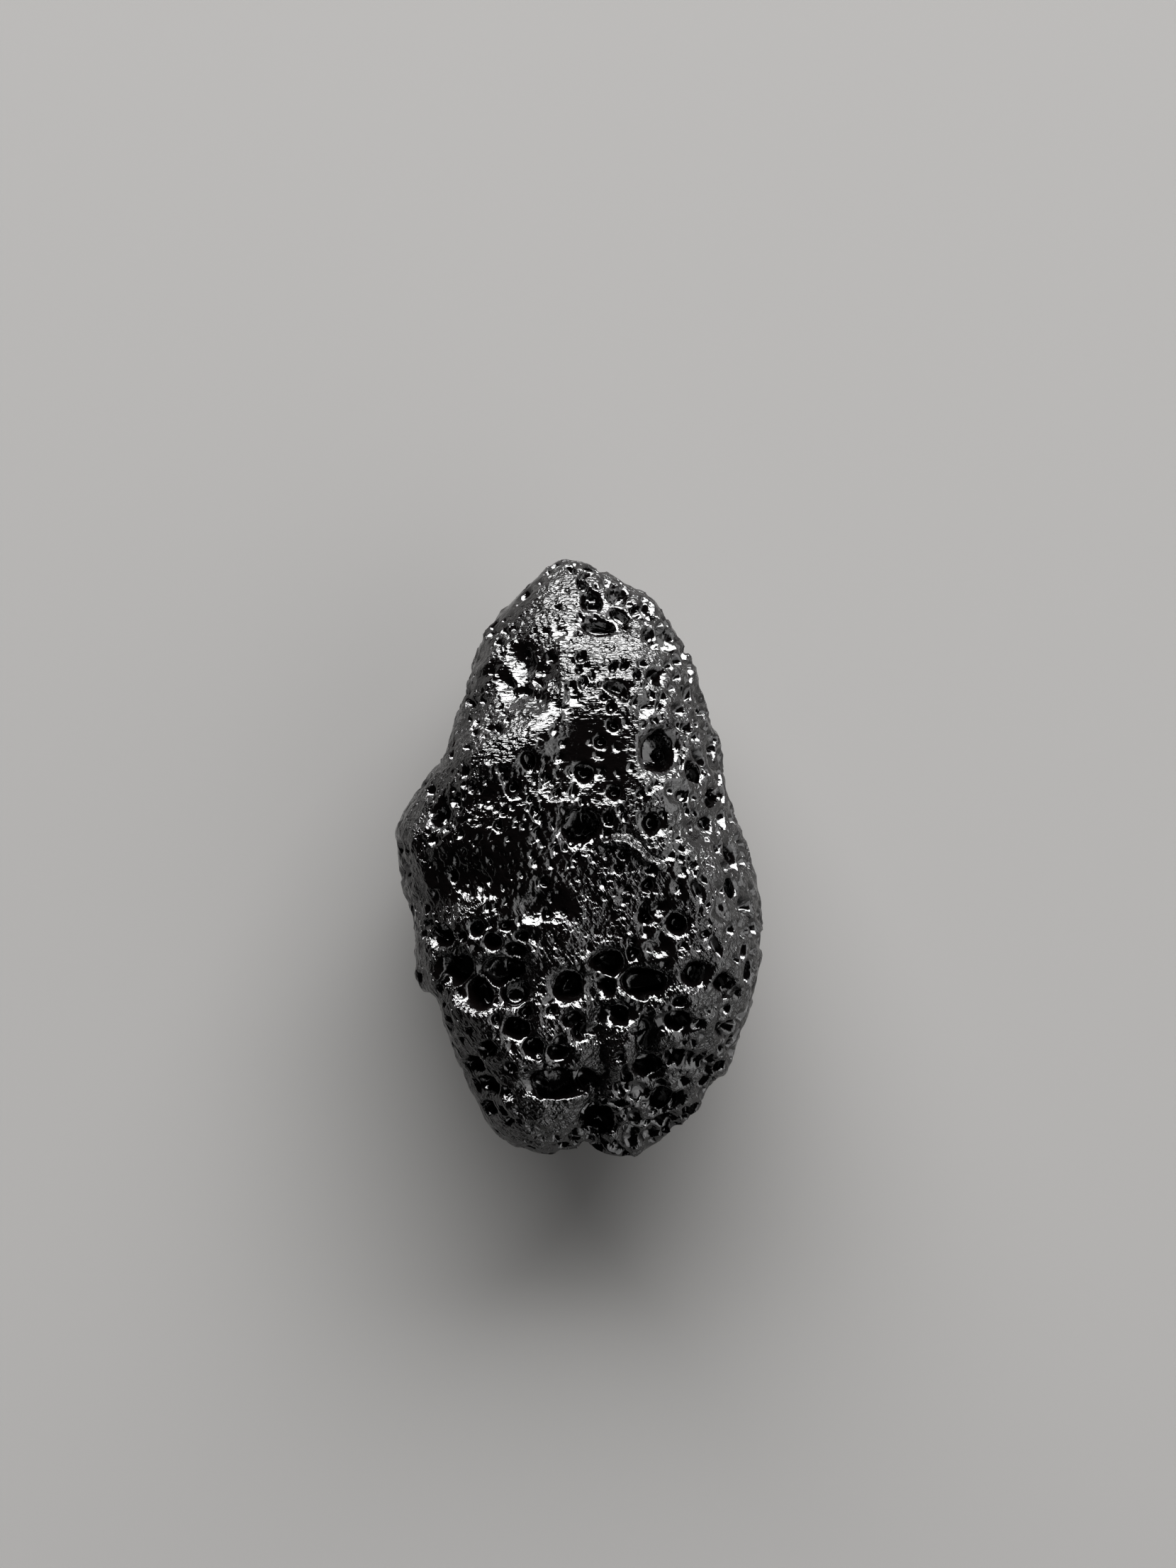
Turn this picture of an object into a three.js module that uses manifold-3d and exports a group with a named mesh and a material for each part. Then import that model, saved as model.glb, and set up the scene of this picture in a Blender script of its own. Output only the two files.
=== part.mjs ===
// Tektite: one small drop of black natural glass, pitted all over, lying on its broad side.
// Millimetres. +Y runs along the stone to its narrow end, +Z is up, and the origin is under its middle.
// A box grid is pushed out to a smooth body by the outline, a few planed faces and broad hollows, and the
// pits are then cut out of it as rounded bites.
import * as THREE from "three";
import { mergeVertices } from "three/addons/utils/BufferGeometryUtils.js";
import Module from "manifold-3d";

// ---- Driving dimensions ----
const RISE = 3.2; // from the outline's plane up to the highest point, before the relief
const DROP = 3.3; // from the outline's plane down to the underside
const HALF_WIDTH = 4.3;
const HALF_LENGTH = 7.2;
const SHOULDER = 0.84; // below 1, the dome is flatter on top and fuller at the shoulder
const FLAT_SPOT = 0.24; // how much of the underside the resting spot takes off
const RELIEF_AT_OUTLINE = 0.2; // share of the unevenness that is left at the outline
const HOLLOW_EDGE = 0.33; // height on the unit ball below which the upper face's hollows fade
const GRID = { across: 12, along: 20, up: 8 }; // cells of the body on each side of the box

// Outline seen from above, in order round the stone from its right side.
const OUTLINE = [
  [4.15, 0.0], [3.93, 0.77], [3.71, 1.28], [3.55, 2.1], [3.45, 2.82], [3.24, 3.43], [2.95, 4.1],
  [2.87, 4.56], [2.73, 4.97], [2.48, 5.33], [1.96, 6.1], [1.66, 6.41], [1.14, 6.66], [0.12, 7.15],
  [-0.29, 7.25], [-0.7, 7.1], [-1.01, 6.84], [-1.63, 6.2], [-2.04, 5.79], [-2.34, 5.28], [-2.73, 4.1],
  [-2.86, 3.64], [-3.22, 2.51], [-3.78, 1.79], [-4.31, 0.97], [-4.43, 0.67], [-4.36, 0.26],
  [-4.24, -0.67], [-3.98, -1.39], [-3.93, -2.62], [-3.88, -3.03], [-3.73, -3.18], [-3.5, -3.23],
  [-3.22, -3.95], [-2.73, -5.28], [-2.34, -6.05], [-2.14, -6.46], [-1.88, -6.75], [-1.22, -7.0],
  [-0.91, -7.08], [-0.29, -7.02], [0.02, -7.02], [0.2, -6.92], [0.43, -7.06], [1.14, -7.25],
  [1.76, -7.04], [2.78, -6.2], [3.3, -5.38], [3.6, -5.02], [3.96, -4.05], [4.2, -3.33], [4.42, -2.05],
  [4.42, -1.18],
];

// Broad planed faces: the way each one looks, as degrees round from +X and degrees up, and its distance
// from the middle.
const FLATS = [
  [-90, 85, 2.72],
  [92, 64.5, 4.03],
  [148, 50, 4.12],
  [15, 25, 3.74],
  [125, 30, 5.45],
  [-150, 32, 4.7],
  [-60, 40, 4.95],
  [30, -35, 3.9],
  [-160, -30, 4.15],
];
const FLAT_EDGE = 0.3; // mm, how far the edge of a planed face is rounded
const FLAT_FADE = 0.3; // power of the height by which a planed face fades towards the outline

// Broad hollows of the upper face, and swells where the depth is negative:
// centre x, y, long half-width, short half-width, turn of the long one in degrees, depth.
const HOLLOWS = [
  [-2.3, 2.45, 1.1, 0.75, 35, -0.4],
  [-1.45, 4.25, 1.1, 0.75, 60, 0.33],
  [0.5, 5.4, 0.75, 0.6, 0, 0.14],
  [-0.1, 2.15, 1.4, 0.95, 0, 0.2],
  [-0.4, 1.22, 0.9, 0.3, 2, -0.09],
  [-3.1, 1.3, 0.8, 0.6, 50, -0.1],
  [-2.64, -0.45, 1.0, 0.7, 0, 0.2],
  [-3.3, 1.0, 0.5, 0.4, 60, 0.14],
  [-1.0, -1.1, 1.0, 0.7, 0, 0.18],
  [0.1, 0.8, 0.7, 0.6, 0, 0.1],
  [2.7, 0.67, 0.75, 0.7, 0, 0.16],
  [2.0, 2.6, 0.75, 0.7, 0, 0.14],
  [1.1, 0.3, 0.8, 0.3, -28, -0.16],
  [-1.6, -2.85, 1.1, 0.5, 0, 0.18],
  [1.5, -2.8, 0.9, 0.5, 0, 0.16],
  [-0.5, -5.3, 1.3, 0.5, 0, 0.26],
  [0.45, -4.4, 2.2, 0.32, 88, 0.22],
  [0.3, -6.5, 0.8, 0.3, 80, 0.24],
  [1.72, -4.4, 1.1, 0.4, 90, 0.2],
  [-2.75, -3.5, 1.3, 0.8, -62, -0.38],
  [1.1, -4.4, 1.2, 0.3, 88, -0.1],
  [2.9, -3.4, 1.3, 0.6, 80, -0.08],
];

// Pits of the upper face: centre x, y, long half-width, short half-width, turn in degrees, depth.
const UPPER_PITS = [
  // narrow end, left of its ridge
  [-0.45, 5.41, 0.24, 0.24, 0, 0.16], [-1.38, 4.72, 0.55, 0.38, 100, 0.26],
  [-1.77, 4.32, 0.22, 0.22, 0, 0.2], [-0.79, 4.49, 0.29, 0.29, 0, 0.22],
  [-1.54, 3.85, 0.29, 0.29, 0, 0.2], [-0.96, 3.79, 0.32, 0.32, 0, 0.22],
  [-2.15, 4.51, 0.38, 0.14, 37, 0.12], [-2.33, 4.95, 0.33, 0.18, 55, 0.14],
  [-0.13, 3.91, 0.24, 0.22, 0, 0.2],
  // narrow end, right of it
  [0.94, 6.3, 0.33, 0.21, -30, 0.2], [1.65, 6.05, 0.31, 0.22, -35, 0.2],
  [0.27, 6.11, 0.28, 0.1, 0, 0.09], [0.48, 5.58, 0.46, 0.2, -10, 0.22],
  [0.9, 4.12, 0.36, 0.22, -5, 0.22], [1.84, 4.38, 0.23, 0.23, 0, 0.2],
  [1.53, 3.64, 0.3, 0.3, 0, 0.13], [0.83, 3.2, 0.18, 0.18, 0, 0.14],
  [2.35, 3.5, 0.2, 0.18, 0, 0.14], [2.12, 5.2, 0.38, 0.17, -55, 0.16],
  [2.55, 4.0, 0.26, 0.17, 90, 0.14], [1.05, 4.75, 0.2, 0.18, 0, 0.12],
  // middle, left
  [-1.2, 2.35, 0.25, 0.25, 0, 0.19], [-1.58, 1.74, 0.22, 0.22, 0, 0.15],
  [0.1, 2.08, 0.29, 0.29, 0, 0.22], [-3.3, 1.0, 0.32, 0.22, 70, 0.2],
  [-2.64, -0.47, 0.7, 0.44, -10, 0.18], [0.05, 0.8, 0.48, 0.42, 0, 0.32],
  [-2.95, 1.45, 0.18, 0.18, 0, 0.12], [-1.06, 1.16, 0.18, 0.18, 0, 0.12],
  [-4.12, -0.3, 0.22, 0.18, 90, 0.15],
  // middle, right
  [0.5, 2.84, 0.19, 0.19, 0, 0.14], [2.0, 2.62, 0.48, 0.48, 0, 0.42],
  [2.76, 2.14, 0.31, 0.2, -70, 0.24], [3.2, 1.52, 0.28, 0.19, 80, 0.2],
  [0.83, 1.59, 0.2, 0.2, 0, 0.16], [1.76, 0.9, 0.31, 0.3, 0, 0.26],
  [2.86, 0.75, 0.34, 0.34, 0, 0.25], [2.34, 1.59, 0.34, 0.34, 0, 0.14],
  [1.35, 0.42, 0.66, 0.16, -33, 0.16], [2.43, -0.2, 0.22, 0.22, 0, 0.15],
  [2.28, -0.68, 0.22, 0.2, 0, 0.14], [1.64, -0.62, 0.2, 0.19, 0, 0.16],
  [2.85, -0.7, 0.28, 0.16, -60, 0.14], [3.61, -0.65, 0.19, 0.17, 0, 0.14],
  [3.53, -0.1, 0.19, 0.18, 0, 0.13], [3.28, 2.5, 0.38, 0.19, 90, 0.16],
  // broad end, left
  [-0.93, -1.1, 0.68, 0.44, 8, 0.24], [-3.25, -1.85, 0.25, 0.23, 0, 0.2],
  [-2.43, -1.65, 0.22, 0.21, 0, 0.17], [-2.03, -1.93, 0.22, 0.21, 0, 0.2],
  [-1.53, -2.18, 0.27, 0.23, 0, 0.22], [-2.98, -2.6, 0.42, 0.34, 0, 0.36],
  [-1.35, -1.77, 0.22, 0.16, 0, 0.13], [-2.38, -3.12, 0.44, 0.4, 0, 0.42],
  [-1.8, -2.66, 0.56, 0.3, 0, 0.32], [-1.5, -3.12, 0.36, 0.34, 0, 0.34],
  [-0.24, -3.0, 0.44, 0.38, 0, 0.32], [-0.13, -3.8, 0.25, 0.21, 0, 0.2],
  [0.08, -4.1, 0.26, 0.23, 0, 0.2], [-1.43, -4.03, 0.35, 0.31, 0, 0.32],
  [-1.07, -4.47, 0.29, 0.25, 0, 0.26], [-2.16, -4.48, 0.23, 0.21, 0, 0.2],
  [-0.45, -4.6, 0.28, 0.25, 0, 0.23], [-1.23, -3.62, 0.22, 0.2, 0, 0.18],
  // broad end, right
  [1.97, -1.11, 0.25, 0.23, 0, 0.24], [2.34, -1.48, 0.28, 0.26, 0, 0.27],
  [1.61, -1.36, 0.23, 0.21, 0, 0.18], [3.4, -1.3, 0.2, 0.18, 0, 0.16],
  [1.28, -2.15, 0.24, 0.19, 90, 0.17], [1.91, -2.09, 0.33, 0.24, 0, 0.16],
  [0.72, -2.45, 0.4, 0.32, 0, 0.37], [1.54, -2.86, 0.55, 0.3, 0, 0.37],
  [2.8, -2.7, 0.32, 0.29, 0, 0.31], [3.5, -2.95, 0.26, 0.24, 0, 0.22],
  [0.68, -2.98, 0.25, 0.22, 90, 0.22], [2.4, -3.34, 0.19, 0.18, 0, 0.15],
  [0.9, -3.65, 0.42, 0.26, 0, 0.32], [2.32, -3.91, 0.4, 0.28, 0, 0.31],
  [2.28, -4.75, 0.25, 0.23, 0, 0.21], [1.65, -4.25, 0.56, 0.22, 90, 0.3],
  [3.3, -2.07, 0.28, 0.13, -70, 0.12],
  // the blunt tip
  [-0.5, -5.33, 0.72, 0.32, 0, 0.38], [0.18, -5.25, 0.26, 0.26, 0, 0.22],
  [-2.5, -4.9, 0.27, 0.21, 0, 0.19], [-2.22, -5.37, 0.3, 0.21, -30, 0.21],
  [-1.73, -5.62, 0.28, 0.14, -40, 0.12], [1.7, -4.95, 0.33, 0.32, 0, 0.32],
  [2.0, -5.78, 0.27, 0.26, 0, 0.21], [0.53, -6.25, 0.36, 0.3, 0, 0.24],
  [1.37, -6.2, 0.28, 0.16, -45, 0.12],
];

// Pits of the sides and the underside, scattered from this seed until they are this many.
const SEED = 61;
const LOWER_PITS = {
  count: 40, spacing: 0.86, // mm between their middles at least
  smallest: 0.22, largest: 0.56, // mm, half-widths
  stretch: 0.35, // how much longer than round at most
  shallow: 0.55, deep: 0.9, // depths as shares of the half-width
};
const TOP_OF_LOWER = 0.22; // height on the unit ball below which a scattered pit may lie
const REST_CLEAR = -0.93; // and above which it has to lie, so that the resting spot stays whole

// A pit's wall from its middle out, as shares of its half-width and its depth, and on past the surface.
const LARGE_PIT = { sides: 7, wall: [[0, -1], [0.6, -0.8], [1, -0.3], [1.6, 0.9], [0, 3]] };
const SMALL_PIT = { sides: 6, wall: [[0, -1], [0.8, -0.62], [1.7, 1], [0, 3]] };
const LARGE_FROM = 0.28; // mm, the mean half-width at which a pit gets the finer wall

// ---- The body ----
const turnOf = ([x, y]) => (Math.atan2(y, x) + 2 * Math.PI) % (2 * Math.PI);
const outline = OUTLINE.map((p) => ({ turn: turnOf(p), radius: Math.hypot(...p) }));
outline.sort((a, b) => a.turn - b.turn);

// Distance of the outline from the middle in one direction, on a smooth curve through its points.
function outlineRadius(turn) {
  const count = outline.length;
  const next = outline.findIndex((o) => o.turn > turn);
  const at = (k) => outline[(Math.max(next, 0) + k + count) % count];
  const [r0, r1, r2, r3] = [-2, -1, 0, 1].map((k) => at(k).radius);
  const full = 2 * Math.PI;
  const span = (at(0).turn - at(-1).turn + full) % full;
  const t = ((turn - at(-1).turn + full) % full) / span;
  const slope = 0.5 * (r2 - r0);
  const bend = r0 - 2.5 * r1 + 2 * r2 - 0.5 * r3;
  const twist = 0.5 * (r3 - r0) + 1.5 * (r1 - r2);
  return r1 + t * (slope + t * (bend + t * twist));
}

// A shallow unevenness with waves of 2 to 5 mm, the same on every side.
function unevenness({ x, y, z }) {
  return (
    0.06 * Math.sin(1.3 * x + 0.6 * y + 0.8) * Math.cos(0.9 * y - 1.2 * z + 0.4) +
    0.04 * Math.sin(2.3 * y + 1.1 * x - 1.4 * z + 2.1) * Math.cos(1.9 * x - 0.7 * y + 1.0)
  );
}

// Depth of one soft hollow under the point x, y.
function hollowDepth([cx, cy, long, short, degrees, depth], x, y) {
  const turn = THREE.MathUtils.degToRad(degrees);
  const along = ((x - cx) * Math.cos(turn) + (y - cy) * Math.sin(turn)) / long;
  const across = ((y - cy) * Math.cos(turn) - (x - cx) * Math.sin(turn)) / short;
  return depth * Math.exp(-1.4 * (along * along + across * across));
}

function directionOf(roundDegrees, upDegrees) {
  const round = THREE.MathUtils.degToRad(roundDegrees);
  const up = THREE.MathUtils.degToRad(upDegrees);
  return new THREE.Vector3(Math.cos(up) * Math.cos(round), Math.cos(up) * Math.sin(round), Math.sin(up));
}

// The point of the body that a unit vector stands for.
function bodyPoint(unit) {
  const radius = outlineRadius(turnOf([unit.x, unit.y]));
  const height = unit.z > 0 ? RISE : DROP;
  const z = height * Math.sign(unit.z) * Math.abs(unit.z) ** SHOULDER;
  const point = new THREE.Vector3(radius * unit.x, radius * unit.y, z);
  for (const [round, up, distance] of FLATS) {
    const normal = directionOf(round, up);
    const past = point.dot(normal) - distance;
    const shaved = 0.5 * (past + Math.hypot(past, FLAT_EDGE));
    point.addScaledVector(normal, -shaved * Math.abs(unit.z) ** FLAT_FADE);
  }
  const outward = new THREE.Vector3(unit.x / HALF_WIDTH, unit.y / HALF_LENGTH, unit.z / height);
  let relief = unevenness(point) * THREE.MathUtils.lerp(RELIEF_AT_OUTLINE, 1, Math.abs(unit.z));
  const share = THREE.MathUtils.clamp(unit.z / HOLLOW_EDGE, 0, 1);
  for (const hollow of HOLLOWS) relief -= share * hollowDepth(hollow, point.x, point.y);
  return point.addScaledVector(outward.normalize(), relief);
}

// A box grid pushed out to the body. Its points are first drawn towards the two ends, as on an ellipse, so
// that the cells come out even.
function bodyGeometry() {
  const box = new THREE.BoxGeometry(2, 2, 2, GRID.across, GRID.along, GRID.up);
  const places = box.getAttribute("position");
  const unit = new THREE.Vector3();
  for (let i = 0; i < places.count; i++) {
    unit.fromBufferAttribute(places, i);
    unit.set(...unit.toArray().map((v) => Math.tan((v * Math.PI) / 4))).normalize();
    const flat = Math.hypot(unit.x, unit.y);
    const drawn = new THREE.Vector2(unit.x * HALF_WIDTH, unit.y * HALF_LENGTH).setLength(flat);
    places.setXYZ(i, ...bodyPoint(new THREE.Vector3(drawn.x, drawn.y, unit.z)));
  }
  return box;
}

// ---- The pits ----
// A repeatable random number from 0 to 1.
function randomFrom(seed) {
  let state = seed;
  return () => {
    state = (state + 0x6d2b79f5) | 0;
    let t = Math.imul(state ^ (state >>> 15), 1 | state);
    t = (t + Math.imul(t ^ (t >>> 7), 61 | t)) ^ t;
    return ((t ^ (t >>> 14)) >>> 0) / 4294967296;
  };
}

// The unit vector whose point of the body lies over x, y on the upper face. The planed faces and hollows
// shift the point a little, so the aim is corrected a few times.
function unitOver(x, y) {
  const corrections = 6;
  const lowest = 0.1;
  const aim = new THREE.Vector2(x, y);
  const unit = new THREE.Vector3();
  for (let round = 0; round < corrections; round++) {
    const flat = Math.min(Math.sqrt(1 - lowest ** 2), aim.length() / outlineRadius(turnOf(aim)));
    unit.set(aim.x, aim.y, 0).setLength(flat);
    unit.z = Math.sqrt(1 - flat * flat);
    const { x: atX, y: atY } = bodyPoint(unit);
    aim.add(new THREE.Vector2(x - atX, y - atY).multiplyScalar(0.7));
  }
  return unit;
}

// The way out of the body at a unit vector, from the body's points close round it.
function bodyNormal(unit) {
  const reach = 0.04;
  const first = new THREE.Vector3(-unit.y, unit.x, 0.001).normalize();
  const second = new THREE.Vector3().crossVectors(unit, first);
  const across = (step) => {
    const ahead = bodyPoint(unit.clone().addScaledVector(step, reach).normalize());
    return ahead.sub(bodyPoint(unit.clone().addScaledVector(step, -reach).normalize()));
  };
  return across(first).cross(across(second)).normalize();
}

// The bite that leaves one pit: a bowl sunk in the surface and closed above it.
function pitGeometry(unit, long, short, degrees, depth) {
  const { sides, wall } = Math.sqrt(long * short) < LARGE_FROM ? SMALL_PIT : LARGE_PIT;
  const profile = wall.map(([out, up]) => new THREE.Vector2(out, up));
  const bowl = new THREE.LatheGeometry(profile, sides, unit.x);
  bowl.rotateX(Math.PI / 2).scale(long, short, depth);
  bowl.rotateZ(THREE.MathUtils.degToRad(degrees));
  const upright = new THREE.Vector3(0, 0, 1);
  bowl.applyQuaternion(new THREE.Quaternion().setFromUnitVectors(upright, bodyNormal(unit)));
  return bowl.translate(...bodyPoint(unit));
}

// Places and sizes of the scattered pits, none closer than the spacing to another or to one of the
// upper face.
function scatteredPits(upperPlaces) {
  const random = randomFrom(SEED);
  const taken = [...upperPlaces];
  const pits = [];
  for (let tries = 0; tries < 20000 && pits.length < LOWER_PITS.count; tries++) {
    const z = REST_CLEAR + (TOP_OF_LOWER - REST_CLEAR) * random();
    const turn = 2 * Math.PI * random();
    const size = random() ** 2;
    const stretch = 1 + LOWER_PITS.stretch * random();
    const degrees = 180 * random();
    const deep = THREE.MathUtils.lerp(LOWER_PITS.shallow, LOWER_PITS.deep, random());
    const flat = Math.sqrt(1 - z * z);
    const unit = new THREE.Vector3(flat * Math.cos(turn), flat * Math.sin(turn), z);
    const place = bodyPoint(unit);
    if (taken.some((other) => other.distanceTo(place) < LOWER_PITS.spacing)) continue;
    taken.push(place);
    const radius = LOWER_PITS.smallest + (LOWER_PITS.largest - LOWER_PITS.smallest) * size;
    pits.push([unit, radius * stretch, radius / stretch, degrees, radius * deep]);
  }
  return pits;
}

// ---- Cutting and finishing ----
const wasm = await Module();
wasm.setup();

function solidOf(geometry) {
  const bare = geometry.clone();
  bare.deleteAttribute("normal");
  bare.deleteAttribute("uv");
  const merged = mergeVertices(bare);
  const triVerts = new Uint32Array(merged.index.array);
  const vertProperties = merged.getAttribute("position").array;
  return new wasm.Manifold(new wasm.Mesh({ numProp: 3, vertProperties, triVerts }));
}

function geometryOf(solid) {
  const mesh = solid.getMesh();
  const geometry = new THREE.BufferGeometry();
  geometry.setAttribute("position", new THREE.BufferAttribute(mesh.vertProperties, 3));
  geometry.setIndex(new THREE.BufferAttribute(mesh.triVerts, 1));
  return geometry;
}

function tektiteGeometry() {
  const upper = UPPER_PITS.map(([x, y, ...size]) => [unitOver(x, y), ...size]);
  const lower = scatteredPits(upper.map(([unit]) => bodyPoint(unit)));
  const bites = [...upper, ...lower].map((pit) => solidOf(pitGeometry(...pit)));
  const pitted = bites.reduce((solid, bite) => solid.subtract(bite), solidOf(bodyGeometry()));
  const block = 40;
  const table = new THREE.BoxGeometry(block, block, block);
  table.translate(0, 0, -DROP + FLAT_SPOT - block / 2);
  const geometry = geometryOf(pitted.subtract(solidOf(table)));
  geometry.computeBoundingBox();
  const { min, max } = geometry.boundingBox;
  geometry.translate(-(min.x + max.x) / 2, -(min.y + max.y) / 2, -min.z);
  geometry.computeVertexNormals();
  return geometry;
}

const glass = new THREE.MeshStandardMaterial({ color: 0x0b0a0a, roughness: 0.16, metalness: 0 });
const tektite = new THREE.Mesh(tektiteGeometry(), glass);
tektite.name = "tektite";

const part = new THREE.Group();
part.add(tektite);
export default part;
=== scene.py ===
# %% [markdown]
# # A tektite
# A tektite is a drop of natural glass, thrown out molten by a large impact and frozen in flight. This one
# is small, black and elongated, with a narrow end and a blunt end. Its skin has been etched in the ground,
# which opened the gas bubbles in it: it is pitted all over, with wrinkled glass between the pits.
#
# The stone formed as one piece, so it is modelled as one mesh, in millimetres, and scaled to metres at the
# end. The imported solid has the same body and the same large pits; it is hidden at the end.

import math

import bmesh
import bpy
import numpy as np
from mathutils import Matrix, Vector, noise
from mathutils.kdtree import KDTree


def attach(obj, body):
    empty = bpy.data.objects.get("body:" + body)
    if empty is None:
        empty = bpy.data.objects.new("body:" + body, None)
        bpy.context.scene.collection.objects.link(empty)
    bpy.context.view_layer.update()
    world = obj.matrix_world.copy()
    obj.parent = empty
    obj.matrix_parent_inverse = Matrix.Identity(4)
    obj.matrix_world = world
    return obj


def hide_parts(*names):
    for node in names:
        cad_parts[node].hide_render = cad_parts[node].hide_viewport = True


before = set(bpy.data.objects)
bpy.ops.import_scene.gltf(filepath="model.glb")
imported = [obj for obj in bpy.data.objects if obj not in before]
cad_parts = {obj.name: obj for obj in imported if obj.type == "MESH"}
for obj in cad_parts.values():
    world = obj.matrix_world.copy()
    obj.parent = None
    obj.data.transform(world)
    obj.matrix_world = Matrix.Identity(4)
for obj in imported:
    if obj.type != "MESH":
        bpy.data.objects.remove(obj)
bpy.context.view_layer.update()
MM = 0.001

# %% [markdown]
# ## The outline
# Seen from above, the stone is a long egg with a bulge on the left and a notch in the blunt tip. An outline
# could be drawn as a curve and lofted, but the pits need an even mesh on every side, so it is used as a
# radius instead: a ball's points are pushed out to it, whatever way they face.

# %% Outline
OUTLINE = [
    (4.15, 0.0), (3.93, 0.77), (3.71, 1.28), (3.55, 2.1), (3.45, 2.82), (3.24, 3.43), (2.95, 4.1),
    (2.87, 4.56), (2.73, 4.97), (2.48, 5.33), (1.96, 6.1), (1.66, 6.41), (1.14, 6.66), (0.12, 7.15),
    (-0.29, 7.25), (-0.7, 7.1), (-1.01, 6.84), (-1.63, 6.2), (-2.04, 5.79), (-2.34, 5.28), (-2.73, 4.1),
    (-2.86, 3.64), (-3.22, 2.51), (-3.78, 1.79), (-4.31, 0.97), (-4.43, 0.67), (-4.36, 0.26),
    (-4.24, -0.67), (-3.98, -1.39), (-3.93, -2.62), (-3.88, -3.03), (-3.73, -3.18), (-3.5, -3.23),
    (-3.22, -3.95), (-2.73, -5.28), (-2.34, -6.05), (-2.14, -6.46), (-1.88, -6.75), (-1.22, -7.0),
    (-0.91, -7.08), (-0.29, -7.02), (0.02, -7.02), (0.2, -6.92), (0.43, -7.06), (1.14, -7.25),
    (1.76, -7.04), (2.78, -6.2), (3.3, -5.38), (3.6, -5.02), (3.96, -4.05), (4.2, -3.33), (4.42, -2.05),
    (4.42, -1.18),
]
outline = sorted((math.atan2(y, x) % math.tau, math.hypot(x, y)) for x, y in OUTLINE)


def outline_radius(x, y):
    """Distance of the outline from the middle, in the direction of x, y, on a Catmull-Rom curve."""
    turn = np.arctan2(y, x) % math.tau
    turns, radii = (np.array(column) for column in zip(*outline))
    after = np.searchsorted(turns, turn, side="right") % len(turns)
    r0, r1, r2, r3 = (radii[(after + step) % len(turns)] for step in (-2, -1, 0, 1))
    start = turns[after - 1]
    t = ((turn - start) % math.tau) / ((turns[after] - start) % math.tau)
    bend = r0 - 2.5 * r1 + 2 * r2 - 0.5 * r3
    twist = 0.5 * (r3 - r0) + 1.5 * (r1 - r2)
    return r1 + t * (0.5 * (r2 - r0) + t * (bend + t * twist))


print("outline points:", len(outline), "widest", round(max(radius for _, radius in outline), 2), "mm")

# %% [markdown]
# ## The body
# The drop isn't a plain ellipsoid. It is full at the shoulders, a few faces look planed, and broad hollows
# and swells run over it. Each is a short formula on the points of the ball, which is quicker to change than
# a sculpt and gives the same stone each time. A planed face is given by the way it looks, and takes off
# what stands past it. A hollow sinks the skin by a bell curve, and a swell is a hollow with a minus.

# %% Planed faces and hollows
# Degrees round from +X, degrees up, distance from the middle in mm.
FLATS = [
    (-90, 85, 2.72), (92, 64.5, 4.03), (148, 50, 4.12), (15, 25, 3.74), (125, 30, 5.45), (-150, 32, 4.7),
    (-60, 40, 4.95), (30, -35, 3.9), (-160, -30, 4.15),
]
# Centre x, y, half-length, half-width, turn in degrees, depth, in mm and seen from above.
HOLLOWS = [
    (-2.3, 2.45, 1.1, 0.75, 35, -0.4), (-1.45, 4.25, 1.1, 0.75, 60, 0.33), (0.5, 5.4, 0.75, 0.6, 0, 0.14),
    (-0.1, 2.15, 1.4, 0.95, 0, 0.2), (-0.4, 1.22, 0.9, 0.3, 2, -0.09), (-3.1, 1.3, 0.8, 0.6, 50, -0.1),
    (-2.64, -0.45, 1.0, 0.7, 0, 0.2), (-3.3, 1.0, 0.5, 0.4, 60, 0.14), (-1.0, -1.1, 1.0, 0.7, 0, 0.18),
    (0.1, 0.8, 0.7, 0.6, 0, 0.1), (2.7, 0.67, 0.75, 0.7, 0, 0.16), (2.0, 2.6, 0.75, 0.7, 0, 0.14),
    (1.1, 0.3, 0.8, 0.3, -28, -0.16), (-1.6, -2.85, 1.1, 0.5, 0, 0.18), (1.5, -2.8, 0.9, 0.5, 0, 0.16),
    (-0.5, -5.3, 1.3, 0.5, 0, 0.26), (0.45, -4.4, 2.2, 0.32, 88, 0.22), (0.3, -6.5, 0.8, 0.3, 80, 0.24),
    (1.72, -4.4, 1.1, 0.4, 90, 0.2), (-2.75, -3.5, 1.3, 0.8, -62, -0.38), (1.1, -4.4, 1.2, 0.3, 88, -0.1),
    (2.9, -3.4, 1.3, 0.6, 80, -0.08),
]
print("planed faces:", len(FLATS), "hollows and swells:", len(HOLLOWS))

# %% Body
RISE, DROP = 3.2, 3.3  # mm from the outline's plane to the top and to the underside
HALF_WIDTH, HALF_LENGTH = 4.3, 7.2
SHOULDER = 0.84  # below 1, the dome is flatter on top and fuller at the shoulder
FLAT_EDGE = 0.3  # mm, how far the edge of a planed face is rounded
FLAT_FADE = 0.3  # power of the height by which a planed face fades towards the outline
HOLLOW_FALL = 1.4
HOLLOW_EDGE = 0.33  # height on the ball below which the hollows fade
RELIEF_AT_OUTLINE = 0.2  # share of the unevenness that is left at the outline
# Height in mm, and for a sine and a cosine the radians per mm along x, y and z, and the start.
WAVES = [
    (0.06, (1.3, 0.6, 0.0, 0.8), (0.0, 0.9, -1.2, 0.4)),
    (0.04, (1.1, 2.3, -1.4, 2.1), (1.9, -0.7, 0.0, 1.0)),
]


def unevenness(p):
    rise = np.zeros(len(p))
    for height, sine, cosine in WAVES:
        rise += height * np.sin(p @ sine[:3] + sine[3]) * np.cos(p @ cosine[:3] + cosine[3])
    return rise


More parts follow.
